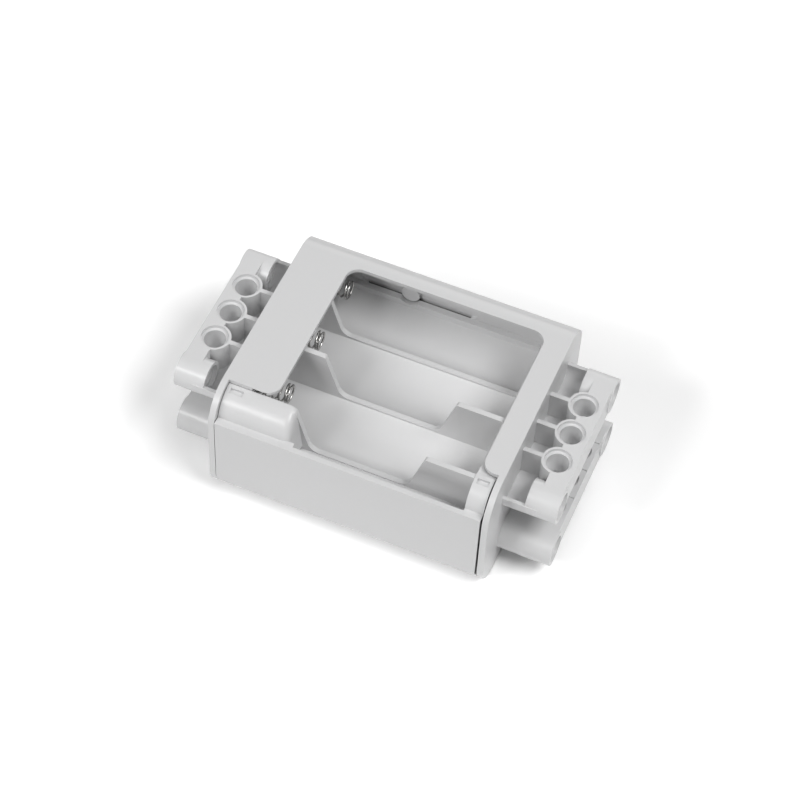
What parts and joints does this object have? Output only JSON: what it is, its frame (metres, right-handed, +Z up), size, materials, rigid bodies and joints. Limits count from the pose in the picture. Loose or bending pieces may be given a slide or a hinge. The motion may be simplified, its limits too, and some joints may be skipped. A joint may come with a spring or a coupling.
{
  "type": "cylindrical cell holder",
  "caption": "Light grey plastic holder for round cells, with open spring-contact bays in a sleeve and a block of connector-pin holes at each end.",
  "frame": {"origin": "middle of the underside, on the surface that the holder stands on", "axes": "+X along the cells towards the button side of the open bays, -Y towards the closed front panel, +Z up through the open bays"},
  "size_m": [0.0886, 0.056, 0.032],
  "materials": {
    "frame_plastic": "light grey moulded ABS, glossy",
    "tray_plastic": "light grey moulded ABS, glossy, a little softer in the bays",
    "spring_steel": "bright plated spring wire",
    "contact_steel": "nickel-plated stamped strip"
  },
  "bodies": {
    "root": {"outer_frame": "frame_plastic", "cell_tray": "tray_plastic", "bottom_cover": "frame_plastic", "spring_upper_front": "spring_steel", "spring_upper_middle": "spring_steel", "spring_upper_rear": "spring_steel", "spring_lower_front": "spring_steel", "spring_lower_middle": "spring_steel", "spring_lower_rear": "spring_steel", "right_link_front": "contact_steel", "right_link_middle": "contact_steel", "right_link_rear": "contact_steel", "left_link_front": "contact_steel", "left_link_rear": "contact_steel", "negative_terminal": "contact_steel", "positive_terminal": "contact_steel"}
  },
  "joints": []
}
